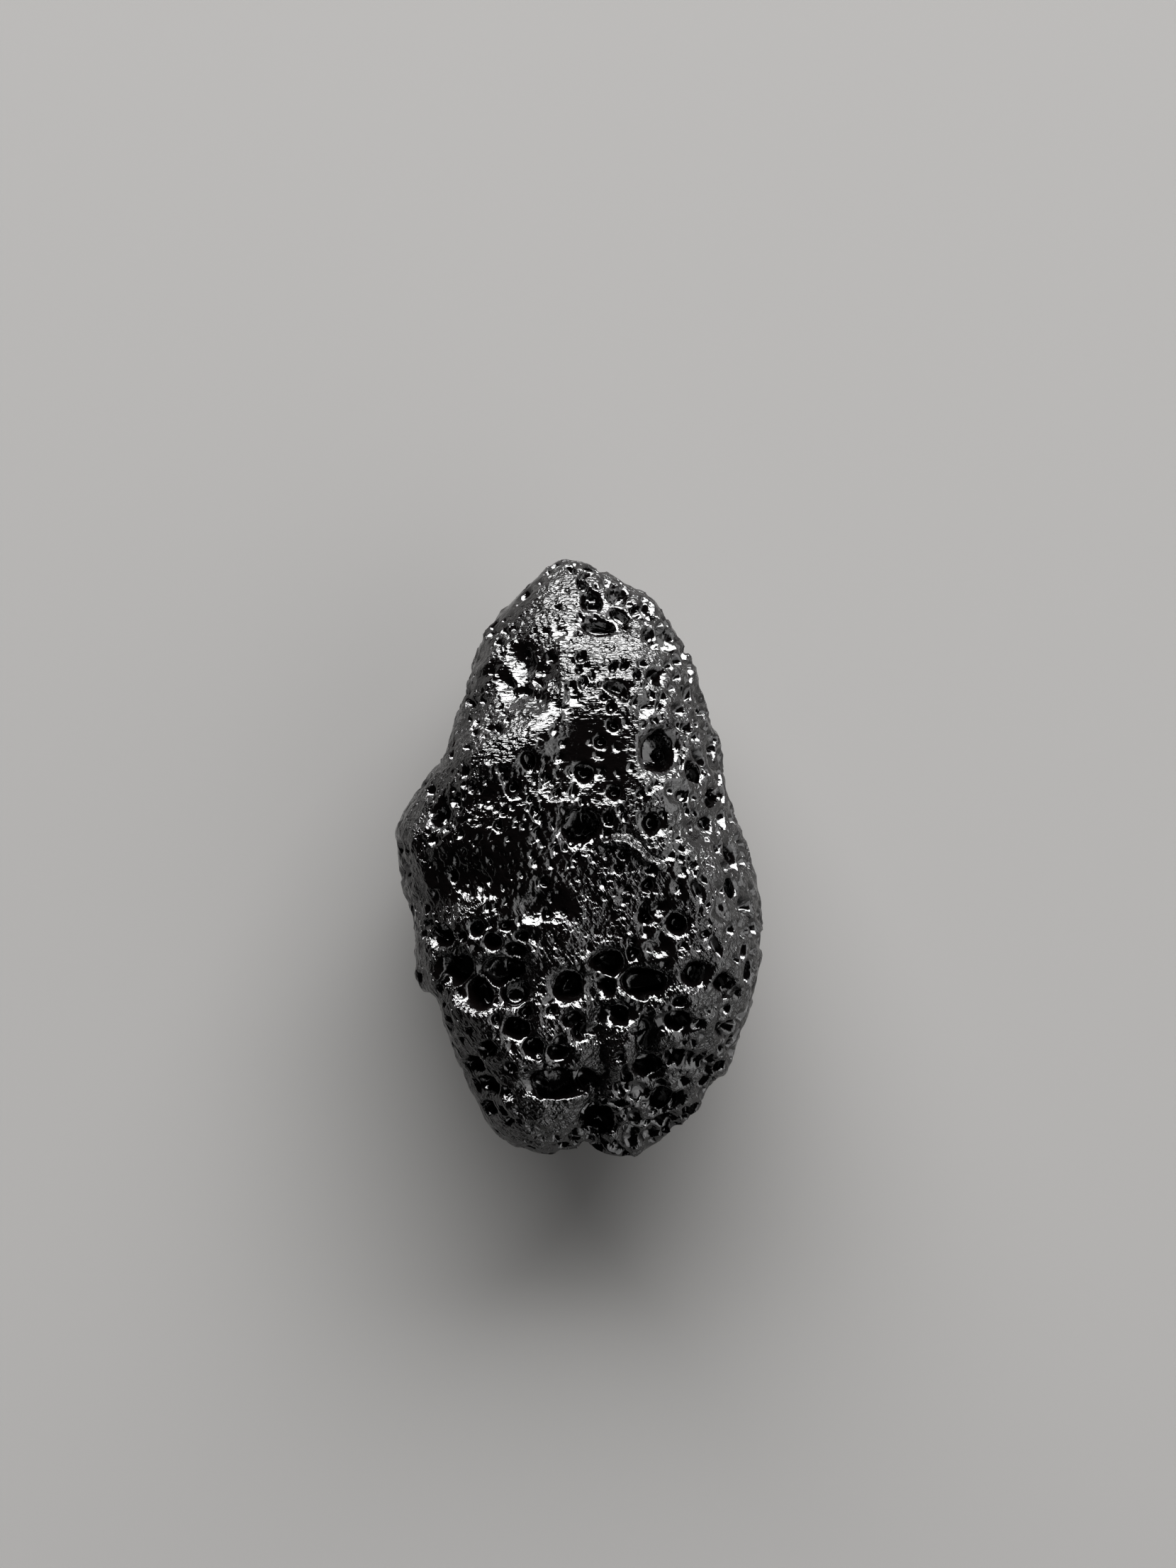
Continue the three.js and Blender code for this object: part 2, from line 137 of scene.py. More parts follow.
def turned(x, y, degrees):
    """x and y measured along and across a direction that is turned by so many degrees."""
    c, s = math.cos(math.radians(degrees)), math.sin(math.radians(degrees))
    return x * c + y * s, y * c - x * s


def body_points(unit):
    """Points of the smooth body, in mm, for rows of unit vectors."""
    height = np.where(unit[:, 2] > 0, RISE, DROP)
    level = np.abs(unit[:, 2])
    p = unit * outline_radius(unit[:, 0], unit[:, 1])[:, None]
    p[:, 2] = height * np.sign(unit[:, 2]) * level**SHOULDER
    for around, up, distance in FLATS:
        around, up = math.radians(around), math.radians(up)
        normal = np.array([math.cos(up) * math.cos(around), math.cos(up) * math.sin(around), math.sin(up)])
        past = p @ normal - distance
        shaved = 0.5 * (past + np.hypot(past, FLAT_EDGE)) * level**FLAT_FADE
        p -= shaved[:, None] * normal
    outward = unit / np.stack([np.full(len(p), HALF_WIDTH), np.full(len(p), HALF_LENGTH), height], axis=1)
    outward /= np.linalg.norm(outward, axis=1, keepdims=True)
    relief = unevenness(p) * (RELIEF_AT_OUTLINE + (1 - RELIEF_AT_OUTLINE) * level)
    share = np.clip(unit[:, 2] / HOLLOW_EDGE, 0, 1)
    for x, y, half_length, half_width, degrees, depth in HOLLOWS:
        along, across = turned(p[:, 0] - x, p[:, 1] - y, degrees)
        away = (along / half_length) ** 2 + (across / half_width) ** 2
        relief -= share * depth * np.exp(-HOLLOW_FALL * away)
    return p + relief[:, None] * outward


top = body_points(np.array([[0.0, 0.0, 1.0]]))[0, 2]
print("middle of the upper face:", round(float(top), 2), "mm above the outline's plane")

# %% [markdown]
# ## The mesh
# The mesh starts as an icosphere, because its triangles are all about the same size and have no poles. Two
# cuts on each edge bring it to a spacing of about 0.07 mm. The ball's points are then drawn upwards in the
# way that keeps small triangles equal-sided, which makes the mesh finer on the face that shows most. They
# are also turned towards the two ends, as if the ball had been stretched to the stone's length, which keeps
# the mesh from being coarse there.

# %% Ball
SUBDIVISIONS, CUTS = 6, 2
ball = bmesh.new()
bmesh.ops.create_icosphere(ball, subdivisions=SUBDIVISIONS, radius=1.0)
bmesh.ops.subdivide_edges(ball, edges=ball.edges[:], cuts=CUTS, use_grid_fill=True)
stone_mesh = bpy.data.meshes.new("tektite_stone")
ball.to_mesh(stone_mesh)
ball.free()
print("stone:", len(stone_mesh.vertices), "vertices,", len(stone_mesh.polygons), "faces")


# %% Reading and writing a mesh
def read(mesh, layer="vertices", name="co"):
    """Rows of three numbers from a mesh, as an array."""
    values = np.empty(len(getattr(mesh, layer)) * 3, dtype=np.float32)
    getattr(mesh, layer).foreach_get(name, values)
    return values.reshape(-1, 3).astype(float)


def write(mesh, points):
    mesh.vertices.foreach_set("co", points.astype(np.float32).ravel())
    mesh.update()


def normals(mesh):
    return read(mesh, "vertex_normals", "vector")


print("first point of the ball:", read(stone_mesh)[0].round(3))

# %% The body's shape
DRAWN_UP = 0.25  # the spacing is this share finer at the top, and as much coarser underneath
TINY = 1e-9  # keeps the two poles from dividing by nothing
unit = read(stone_mesh)
unit /= np.linalg.norm(unit, axis=1, keepdims=True)
drawn_up = 1 + DRAWN_UP * unit[:, 2]
unit[:, :2] *= (math.sqrt(1 - DRAWN_UP**2) / drawn_up)[:, None]
unit[:, 2] = (unit[:, 2] + DRAWN_UP) / drawn_up
flat = np.hypot(unit[:, 0], unit[:, 1])
drawn = unit[:, :2] * (HALF_WIDTH, HALF_LENGTH)
drawn *= (flat / np.maximum(np.linalg.norm(drawn, axis=1), TINY))[:, None]
unit[:, :2] = drawn
write(stone_mesh, body_points(unit))
print("body in mm:", read(stone_mesh).min(axis=0).round(2), "to", read(stone_mesh).max(axis=0).round(2))

# %% [markdown]
# ## Creases
# Long narrow ridges and grooves run over the glass where it folded while it was soft. They could be curves
# that cut the mesh, but a crease has soft sides. So it is a broken line seen from above, and the skin rises
# or sinks beside it by a bell curve.

# %% Creases
# Height in mm (minus is a groove), half-width in mm, and the points it runs through.
CREASES = [
    (0.13, 0.4, [(-2.6, 1.8), (-2.0, 2.15), (-1.5, 2.45), (-1.0, 2.75), (-0.75, 3.1)]),
    (0.1, 0.09, [(0.45, 0.36), (0.81, 0.47), (1.09, 0.44), (1.33, 0.27), (1.61, 0.02), (1.92, -0.12)]),
    (-0.12, 0.09, [(0.72, 0.66), (1.27, 0.62), (1.51, 0.38), (1.76, 0.1), (1.96, 0.05)]),
    (-0.09, 0.08, [(0.6, 0.22), (1.0, 0.26), (1.25, 0.08), (1.5, -0.16)]),
    (0.035, 0.1, [(-1.26, 1.6), (-0.9, 1.5), (-0.55, 1.35), (0.0, 1.3), (0.5, 1.25), (1.0, 1.35)]),
    (0.08, 0.12, [(-0.42, 5.2), (-0.36, 4.4), (-0.4, 3.5)]),
    (0.08, 0.14, [(-3.99, 0.67), (-3.8, -0.07), (-3.53, -0.77), (-3.6, -2.0), (-3.4, -3.1)]),
    (0.06, 0.14, [(2.3, 5.0), (2.62, 3.7), (2.86, 2.53), (3.04, 2.08), (3.47, 1.59)]),
    (-0.12, 0.12, [(0.35, -2.8), (0.41, -3.96), (0.55, -5.0), (0.3, -6.0), (0.2, -6.9)]),
    (0.08, 0.1, [(-1.76, -5.78), (-1.39, -6.17), (-1.17, -6.45), (-0.89, -6.84)]),
    (0.09, 0.09, [(0.25, -6.73), (0.5, -6.56), (0.73, -6.56), (0.98, -6.79), (1.12, -7.04)]),
    (0.06, 0.1, [(-1.2, -5.62), (-0.5, -5.72), (0.2, -5.6)]),
    (0.03, 0.1, [(-1.5, -1.5), (-0.9, -1.62), (-0.3, -1.5)]),
    (0.03, 0.1, [(-2.35, -1.15), (-2.05, -0.95)]),
]
CREASE_EDGE = 0.15  # height on the ball below which a crease fades


def line_distance(points, line):
    """Distance, seen from above, of each point from a broken line."""
    best = np.full(len(points), np.inf)
    for start, end in zip(line, line[1:]):
        start, run = np.array(start), np.array(end) - np.array(start)
        offset = points[:, :2] - start
        share = np.clip(offset @ run / (run @ run), 0, 1)
        best = np.minimum(best, np.linalg.norm(offset - share[:, None] * run, axis=1))
    return best


place = read(stone_mesh)
rise = np.zeros(len(place))
upper = np.clip(unit[:, 2] / CREASE_EDGE, 0, 1)
for height, half_width, line in CREASES:
    rise += height * upper * np.exp(-((line_distance(place, line) / half_width) ** 2))
write(stone_mesh, place + rise[:, None] * normals(stone_mesh))
print("creases:", len(CREASES), "highest", round(float(rise.max()), 2), "mm")

# %% [markdown]
# ## Pits
# A pit is half of a burst gas bubble. Some are open bowls, round at the bottom, and others are deep holes
# with upright walls, whose rims have been worn back to a slope, more so on the broad end. The slope is what
# catches the light, as a bright crescent under a black hole.
#
# The larger ones are listed one by one, and so are the small ones that the eye picks out. The rest is
# scattered.

# %% Bowls and basins
# Centre x, y, half-length, half-width, turn in degrees, depth, all in mm and seen from above.
BASINS = [(0.1, 3.2, 1.3, 1.0, 8, 0.14)]
BOWLS = [
    # narrow end
    (-0.45, 5.41, 0.21, 0.21, 0, 0.06), (-1.38, 4.72, 0.48, 0.33, 100, 0.18),
    (-1.77, 4.32, 0.2, 0.2, 0, 0.06), (-0.79, 4.49, 0.26, 0.26, 0, 0.08),
    (-1.54, 3.85, 0.26, 0.26, 0, 0.08), (-0.96, 3.79, 0.29, 0.29, 0, 0.09),
    (-2.15, 4.51, 0.35, 0.11, 37, 0.05), (-2.33, 4.92, 0.3, 0.15, 55, 0.06),
    (-0.13, 3.91, 0.2, 0.18, 0, 0.07), (1.62, 6.02, 0.26, 0.17, -35, 0.08),
    (1.53, 3.64, 0.26, 0.26, 0, 0.09),
    # middle
    (-2.64, -0.47, 0.7, 0.42, -10, 0.08), (-0.93, -1.08, 0.66, 0.42, 8, 0.15),
    (2.86, 0.75, 0.3, 0.3, 0, 0.17), (2.34, 1.59, 0.31, 0.31, 0, 0.12), (2.43, -0.25, 0.2, 0.2, 0, 0.1),
    (2.3, -0.65, 0.2, 0.19, 0, 0.1), (1.97, -1.11, 0.24, 0.22, 0, 0.13), (3.4, -1.3, 0.18, 0.17, 0, 0.1),
    (1.91, -2.09, 0.36, 0.27, 0, 0.17),
]
print("bowls:", len(BOWLS), "basins:", len(BASINS))

# %% Holes
# The same six numbers as for the bowls.
HOLES = [
    # narrow end
    (0.94, 6.3, 0.3, 0.18, -30, 0.18), (0.27, 6.11, 0.26, 0.07, 0, 0.07),
    (0.48, 5.58, 0.44, 0.18, -10, 0.2), (0.89, 4.13, 0.33, 0.18, -5, 0.2), (1.84, 4.38, 0.2, 0.2, 0, 0.18),
    (0.83, 3.2, 0.15, 0.15, 0, 0.11), (2.35, 3.54, 0.15, 0.15, 0, 0.11),
    (2.12, 5.24, 0.36, 0.14, -55, 0.13), (2.59, 4.0, 0.23, 0.13, 90, 0.12),
    # middle, left
    (-1.2, 2.35, 0.22, 0.22, 0, 0.16), (-1.58, 1.74, 0.18, 0.18, 0, 0.12), (0.1, 2.08, 0.26, 0.26, 0, 0.2),
    (-3.28, 1.03, 0.27, 0.2, 70, 0.16), (0.02, 0.78, 0.45, 0.42, 0, 0.28), (-2.95, 1.4, 0.14, 0.14, 0, 0.1),
    (-1.06, 1.16, 0.14, 0.14, 0, 0.09), (-4.14, -0.32, 0.2, 0.16, 90, 0.12),
    # middle, right
    (0.5, 2.84, 0.16, 0.16, 0, 0.11), (2.0, 2.62, 0.45, 0.45, 0, 0.38), (2.74, 2.14, 0.29, 0.18, -70, 0.2),
    (3.2, 1.52, 0.27, 0.16, 80, 0.17), (0.83, 1.59, 0.18, 0.18, 0, 0.14), (1.76, 0.9, 0.28, 0.27, 0, 0.23),
    (0.11, 0.92, 0.3, 0.28, 0, 0.26), (1.64, -0.62, 0.16, 0.16, 0, 0.13),
    (2.82, -0.71, 0.26, 0.13, -60, 0.12), (3.61, -0.65, 0.15, 0.14, 0, 0.11),
    (3.53, -0.16, 0.16, 0.15, 0, 0.11), (3.29, 2.5, 0.38, 0.16, 90, 0.12),
]
print("holes of the narrow end and the middle:", len(HOLES))

# %% Holes of the broad end
# The same six numbers again. These have more of a worn rim.
BROAD_HOLES = [
    # left
    (-3.25, -1.85, 0.24, 0.22, 0, 0.2), (-2.43, -1.65, 0.2, 0.2, 0, 0.15),
    (-2.03, -1.93, 0.21, 0.2, 0, 0.2), (-1.53, -2.18, 0.26, 0.22, 0, 0.22),
    (-2.98, -2.6, 0.42, 0.34, 0, 0.32), (-1.35, -1.79, 0.2, 0.15, 0, 0.12),
    (-2.38, -3.12, 0.44, 0.4, 0, 0.4), (-1.8, -2.66, 0.6, 0.32, 0, 0.3), (-1.5, -3.12, 0.36, 0.34, 0, 0.32),
    (-1.23, -3.62, 0.22, 0.2, 0, 0.18), (-0.24, -3.0, 0.44, 0.38, 0, 0.28),
    (-0.13, -3.8, 0.24, 0.2, 0, 0.2), (0.08, -4.1, 0.25, 0.22, 0, 0.2), (-1.43, -4.03, 0.34, 0.3, 0, 0.3),
    (-1.07, -4.47, 0.28, 0.24, 0, 0.24), (-2.16, -4.48, 0.22, 0.2, 0, 0.2),
    (-0.45, -4.6, 0.28, 0.24, 0, 0.22),
    # right
    (2.34, -1.48, 0.27, 0.25, 0, 0.26), (1.61, -1.36, 0.22, 0.2, 0, 0.17),
    (1.3, -2.25, 0.18, 0.17, 0, 0.14), (0.72, -2.45, 0.4, 0.32, 0, 0.34), (1.54, -2.86, 0.55, 0.3, 0, 0.34),
    (2.8, -2.7, 0.32, 0.29, 0, 0.28), (3.5, -2.95, 0.24, 0.22, 0, 0.2), (0.68, -2.98, 0.24, 0.22, 90, 0.22),
    (2.4, -3.34, 0.17, 0.16, 0, 0.14), (0.9, -3.65, 0.42, 0.26, 0, 0.3), (2.32, -3.91, 0.4, 0.28, 0, 0.28),
    (2.28, -4.75, 0.24, 0.22, 0, 0.2), (1.65, -4.25, 0.58, 0.21, 90, 0.28),
    (3.3, -2.07, 0.26, 0.09, -70, 0.1), (1.13, -5.14, 0.26, 0.12, 90, 0.16),
    # the blunt tip
    (-0.5, -5.33, 0.72, 0.32, 0, 0.36), (0.16, -5.27, 0.25, 0.25, 0, 0.2), (-2.5, -4.9, 0.26, 0.2, 0, 0.18),
    (-2.22, -5.37, 0.3, 0.2, -30, 0.2), (-2.15, -5.98, 0.2, 0.17, 0, 0.14),
    (-1.73, -5.6, 0.26, 0.11, -40, 0.1), (1.7, -4.95, 0.33, 0.32, 0, 0.3), (2.0, -5.78, 0.26, 0.26, 0, 0.2),
    (0.53, -6.26, 0.36, 0.3, 0, 0.24), (0.62, -6.85, 0.3, 0.15, 0, 0.16),
    (1.51, -5.55, 0.3, 0.15, -40, 0.1), (1.37, -6.2, 0.26, 0.13, -45, 0.1),
]
print("holes of the broad end:", len(BROAD_HOLES))

# %% Small round pits
# Centre x, y, radius.
SMALL_PITS = [
    (-0.2, 6.96, 0.13), (-2.09, 5.44, 0.1), (-1.77, 5.49, 0.09), (-1.54, 5.53, 0.08), (-2.72, 4.03, 0.08),
    (-2.61, 3.76, 0.1), (-2.27, 3.76, 0.1), (-2.86, 3.68, 0.06), (-2.44, 3.27, 0.09), (-1.91, 3.12, 0.14),
    (1.34, 5.97, 0.13), (1.68, 5.83, 0.16), (0.4, 6.55, 0.08), (0.33, 5.82, 0.07), (0.05, 4.82, 0.12),
    (-0.14, 4.7, 0.07), (-0.01, 4.51, 0.11), (0.31, 4.35, 0.11), (0.8, 4.64, 0.12), (1.08, 4.61, 0.11),
    (1.59, 4.64, 0.06), (2.21, 4.11, 0.1), (1.37, 4.36, 0.11), (1.06, 3.91, 0.14), (0.59, 3.85, 0.11),
    (0.75, 3.63, 0.11), (1.79, 3.34, 0.1), (1.93, 3.7, 0.12), (2.57, 5.05, 0.1), (2.69, 4.5, 0.1),
    (2.97, 3.88, 0.1), (3.03, 3.18, 0.1), (-1.78, 1.89, 0.1), (-0.38, 2.75, 0.09), (-0.44, 2.2, 0.06),
    (-0.5, 2.08, 0.06), (-1.94, 0.84, 0.13), (-3.42, 0.46, 0.11), (-0.9, 0.36, 0.07), (-0.7, -0.13, 0.07),
    (-4.2, -0.04, 0.1), (-3.97, -1.25, 0.08), (-3.8, -2.86, 0.12), (1.97, 1.14, 0.1), (0.69, 0.97, 0.15),
    (0.63, 0.64, 0.12), (0.98, 1.19, 0.08), (2.49, 1.25, 0.08), (1.45, 1.62, 0.1), (1.06, 0.12, 0.13),
    (0.61, 0.09, 0.07), (0.93, -0.19, 0.12), (2.39, 0.05, 0.1), (2.68, -0.13, 0.13), (1.7, -0.25, 0.14),
    (3.44, 0.79, 0.09), (3.6, 0.36, 0.1), (3.84, 0.27, 0.12), (3.32, -0.95, 0.08), (-0.8, -1.27, 0.13),
    (-0.39, -1.24, 0.09), (-3.57, -1.51, 0.12), (-3.42, -1.74, 0.08), (-2.8, -1.85, 0.15),
    (-1.78, -1.57, 0.15), (-1.51, -3.6, 0.08), (-3.07, -4.02, 0.12), (-1.94, -3.8, 0.15),
    (-0.62, -3.56, 0.15), (3.49, -1.62, 0.07), (3.01, -1.76, 0.12), (1.3, -1.97, 0.12), (3.73, -3.2, 0.15),
    (0.96, -4.7, 0.12), (4.18, -2.22, 0.13), (3.9, -2.1, 0.08), (3.08, -3.53, 0.1), (2.4, -2.0, 0.1),
    (2.86, -3.9, 0.12), (2.71, -4.39, 0.1), (1.33, -4.08, 0.1), (-1.67, -6.26, 0.12), (-1.67, -4.96, 0.15),
    (-0.05, -6.79, 0.17), (0.95, -5.44, 0.15), (1.12, -5.2, 0.13), (2.72, -6.09, 0.15), (2.86, -4.82, 0.13),
]
SMALL_DEPTH = 0.9  # of its radius
print("small pits by hand:", len(SMALL_PITS))

# %% [markdown]
# ## Pressing pits in
# The pits could be cut out with booleans, but hundreds of them would break the even mesh. So each one
# presses the nearby points inwards instead: a profile says how deep a point sinks at a distance from the
# pit's middle, measured in the pit's own size. The points are bent a little by a noise first, so that no
# rim is a perfect circle. Where two pits meet, the deeper one wins, which leaves the sharp walls between
# them that etched glass has. `calm` remembers where the pits are, because the skin in them is smooth.

# %% Profiles of a pit
REACH = 2.0  # how far a pit is felt, in its own size
LIP, LIP_FALL = 0.12, 1.8  # how far the lip is rounded, and the slope that rounding runs out on
LIP_EDGE = LIP**2 / (2 * LIP_FALL * (REACH - 1))  # what the rounding leaves where the reach ends
RIM_FROM, RIM_TO, RIM_FALL = 0.8, 1.8, 1.4  # where the worn rim begins and ends, and how it flattens
SHARP, WORN, DEEPLY_WORN = 0.0, 0.6, 1.0  # depths of the worn rim, as shares of the pit's half-width


def bowl(away):
    return 1 - away**2


def hole(away):
    """Nearly flat in the middle, with an upright wall."""
    return np.sqrt(np.maximum(1 - away**4, 0)) - LIP_FALL * np.maximum(away - 1, 0)


def depth_at(away, profile, depth, rim, half_width):
    """How deep the points sink at these distances from the pit's middle."""
    height = profile(away)
    rounded = 0.5 * depth * (height + np.hypot(height, LIP) - LIP_EDGE)
    outward = np.clip((away - RIM_FROM) / (RIM_TO - RIM_FROM), 0, 1)
    return np.maximum(rounded, 0) + rim * half_width * (1 - outward) ** RIM_FALL


steps = np.linspace(0, REACH, 6)
print("a hole 1 deep, at", steps.round(1), "sinks", depth_at(steps, hole, 1, WORN, 1).round(2))

# %% Pressing
BEND, BEND_SIZE = 0.07, 0.4  # mm, how far rims wander and over what distance
CALM_TO, CALM_FADE = 1.7, 0.45  # in the pit's own size
NOISE_SEED = 4
noise.seed_set(NOISE_SEED)  # unseeded, noise_vector starts from the clock and bends the rims anew each run
calm = np.zeros(len(stone_mesh.vertices))


def press(mesh, pits, profile, rim, smoothed=1.0):
    """Presses pits in. Each is a centre, its two directions, its half-length, half-width and depth."""
    points, out = read(mesh), normals(mesh)
    bent = points + [BEND * noise.noise_vector(Vector(point) / BEND_SIZE) for point in points]
    tree = KDTree(len(points))
    for index, point in enumerate(points):
        tree.insert(point, index)
    tree.balance()
    sunk = np.zeros(len(points))
    for centre, along, across, half_length, half_width, depth in pits:
        near = [index for _, index, _ in tree.find_range(centre, REACH * half_length)]
        offset = bent[near] - centre
        away = np.hypot(offset @ along / half_length, offset @ across / half_width)
        sink = depth_at(away, profile, depth, rim, half_width)
        sink[out[near] @ out[near[0]] < 0] = 0  # a pit isn't felt on skin that faces the other way
        sunk[near] = np.maximum(sunk[near], sink)
        calm[near] = np.maximum(calm[near], smoothed * np.clip((CALM_TO - away) / CALM_FADE, 0, 1))
    write(mesh, points - sunk[:, None] * out)
    print("pressed", len(pits), "pits, deepest", round(float(sunk.max()), 2), "mm")


def laid(mesh, x, y, half_length, half_width, degrees, depth, size=1.0, deepened=1.0):
    """A pit that is given as it looks from above, laid on the skin."""
    along = np.array([*turned(1, 0, -degrees), 0])
    across = np.array([*turned(0, 1, -degrees), 0])
    points = read(mesh)
    points = points[points[:, 2] > 0]
    centre = points[np.argmin((points[:, 0] - x) ** 2 + (points[:, 1] - y) ** 2)]
    return centre, along, across, size * half_length, size * half_width, deepened * depth


print("a point on the skin:", laid(stone_mesh, 0, 0, 1, 1, 0, 1)[0].round(2))

# %% The placed pits
BOWL_SMOOTHED = 0.7
HOLE_SIZE = 0.82  # share of the size that shows; the rest of it is the worn rim
HOLE_DEEPENED = 1.3
press(stone_mesh, [laid(stone_mesh, *pit) for pit in BASINS], bowl, SHARP, 0.0)
press(stone_mesh, [laid(stone_mesh, *pit) for pit in BOWLS], bowl, SHARP, BOWL_SMOOTHED)
for holes, rim in ((HOLES, WORN), (BROAD_HOLES, DEEPLY_WORN)):
    press(stone_mesh, [laid(stone_mesh, *pit, HOLE_SIZE, HOLE_DEEPENED) for pit in holes], hole, rim)

# %% [markdown]
# ## Smooth patches
# In a few places the etching hasn't bitten, and the glass is nearly as smooth between the pits as in them:
# on the level part of the upper face, in the basin and beside the narrow tip. They only raise `calm`.

# %% Smooth patches
# Centre x, y, half-length, half-width, turn in degrees.
PLATEAU = (-1.6, 0.5, 2.0, 1.6, 15)
IN_THE_BASIN = (0.2, 2.6, 1.45, 1.25, -12)
BY_THE_TIP = (-1.5, 6.3, 1.0, 0.35, 50)
SMOOTH_PATCHES = [(PLATEAU, 0.7), (IN_THE_BASIN, 0.85), (BY_THE_TIP, 0.9)]  # each with how smooth it is
place = read(stone_mesh)


def patch(x, y, half_length, half_width, degrees):
    """How much each point lies in a patch of the upper face: 1 in its middle, 0 outside."""
    along, across = turned(place[:, 0] - x, place[:, 1] - y, degrees)
    inside = np.exp(-(((along / half_length) ** 2 + (across / half_width) ** 2) ** 2))
    return inside * (unit[:, 2] > 0)


for spread, share in SMOOTH_PATCHES:
    calm = np.maximum(calm, share * patch(*spread))
print("share of the skin that is calm:", round(float(calm.mean()), 2))

# %% [markdown]
# ## Scattered pits
# Underneath, round the edge, on the right flank and between the placed ones, pits lie at random. Those
# round the edge are small, so that they don't bite into the outline, and mere pinpricks dot the smooth
# plateau. They could be placed by hand too, but there are over a thousand, and no one of them stands out.
#
# Points of the mesh are tried in a seeded random order, and one is taken when no other pit lies too close,
# so that pits crowd but don't pile up. Most are near the smaller size, as bubbles in glass are. The sizes
# are drawn for all points beforehand, so that one pit more or less doesn't change the others.

# %% Scattered pits
SEED = 61
STRETCH = 0.3  # how much longer than round at most
BELOW, EDGE, FLANK = -0.15, 0.2, 0.5  # heights on the ball
ON_PLATEAU = 0.3  # share of the patch from which a point counts as lying on it
# How many, the smallest and the largest radius in mm, and in radii the spacing, least and greatest depth.
UNDERNEATH = (130, 0.2, 0.5, 1.05, 0.5, 0.9)
ROUND_THE_EDGE = (90, 0.12, 0.24, 1.1, 0.5, 0.9)
ON_THE_FLANK = (120, 0.1, 0.24, 1.15, 0.9, 1.3)
BETWEEN = (700, 0.05, 0.13, 1.4, 0.5, 0.9)
PINPRICKS = (220, 0.035, 0.065, 1.5, 0.9, 1.5)
rng = np.random.default_rng(SEED)


def scattered(mesh, where, count, smallest, largest, spacing, shallow, deep):
    """Pits at random points of the mesh, of those that are marked in `where`."""
    points, out = read(mesh), normals(mesh)
    sizes = smallest + (largest - smallest) * rng.random(len(points)) ** 2
    leans = rng.normal(size=points.shape)
    stretches = 1 + STRETCH * rng.random(len(points))
    depths = sizes * (shallow + (deep - shallow) * rng.random(len(points)))
    pits, taken = [], []
    for index in rng.permutation(np.flatnonzero(where)):
        if len(pits) == count:
            break
        point, radius, stretch = points[index], sizes[index], stretches[index]
        if any(math.dist(point, other) < spacing * (radius + size) for other, size in taken):
            continue
        taken.append((point, radius))
        along = np.cross(out[index], leans[index])
        along /= np.linalg.norm(along)
        across = np.cross(out[index], along)
        pits.append((point, along, across, radius * stretch, radius / stretch, depths[index]))
    return pits


up = unit[:, 2]
below = up < BELOW
edge = (up > BELOW) & (up < EDGE)
flank = (up > 0) & (up < FLANK) & (unit[:, 0] > 0)
everywhere = np.full(len(unit), True)
plateau = patch(*PLATEAU) > ON_PLATEAU
for where, kind in ((below, UNDERNEATH), (edge, ROUND_THE_EDGE), (flank, ON_THE_FLANK)):
    press(stone_mesh, scattered(stone_mesh, where, *kind), hole, WORN)
small = [laid(stone_mesh, x, y, r, r, 0, SMALL_DEPTH * r, HOLE_SIZE) for x, y, r in SMALL_PITS]
press(stone_mesh, small + scattered(stone_mesh, everywhere, *BETWEEN), hole, WORN)
press(stone_mesh, scattered(stone_mesh, plateau, *PINPRICKS), hole, WORN)

# %% [markdown]
# ## The crumpled skin
# Between the pits the skin isn't smooth either: acid in the ground has eaten it into shallow cups that meet
# in sharp ridges, and flow lines run through the glass. A Voronoi pattern has such cups, as the square of
# the distance from each cell's middle. A drawn-out noise makes the flow lines, which lie across the narrow
# end and askew on the broad one. Both are moved into the mesh here; what is finer than the mesh is in the
# glass's material, as bump.

# %% Crumple
CUP_SPACING, CUP_DEPTH, CUP_BEND = 0.3, 0.05, 0.12  # mm
CUP_LEVEL = 0.2  # taken off, so that the cups sink as much as the ridges rise
FLOW_WIDTH, FLOW_LENGTH, FLOW_HEIGHT = 0.24, 0.7, 0.05  # mm
LUMP_SIZE, LUMP_HEIGHT = 0.6, 0.04  # mm
ASKEW = -55  # degrees
TURN_FROM, TURN_TO = -0.9, 2.1  # mm along the stone, where the flow lines turn from askew to across


def flow_lines(point, degrees):
    """A noise drawn out along a direction, seen from above."""
    along, across = turned(point.x, point.y, degrees)
    return noise.noise(Vector((along / FLOW_LENGTH, across / FLOW_WIDTH, point.z / FLOW_WIDTH)))


def crumple(points):
    """Heights of the crumpled skin, in mm."""
    heights = np.empty(len(points))
    for index, row in enumerate(points):
        point = Vector(row)
        bent = point + CUP_BEND * noise.noise_vector(point / CUP_SPACING)
        nearest = noise.voronoi(bent / CUP_SPACING)[0][0]
        narrow = min(max((point.y - TURN_FROM) / (TURN_TO - TURN_FROM), 0), 1)
        flow = narrow * flow_lines(point, 0) + (1 - narrow) * flow_lines(point, ASKEW)
        lump = noise.noise(point / LUMP_SIZE)
        heights[index] = CUP_DEPTH * (nearest**2 - CUP_LEVEL) + FLOW_HEIGHT * flow + LUMP_HEIGHT * lump
    return heights


place = read(stone_mesh)
relief = crumple(place)
write(stone_mesh, place + (relief * (1 - calm))[:, None] * normals(stone_mesh))
print("crumple from", round(relief.min(), 3), "to", round(relief.max(), 3), "mm")

# %% [markdown]
# ## The object
# The stone is moved so that its box's middle is over the origin and it lies on the flat spot underneath,
# and only then scaled to metres, because the rest of the script is easier to read in millimetres. An
# attribute goes with it, which tells the material where the finest etching is worn.

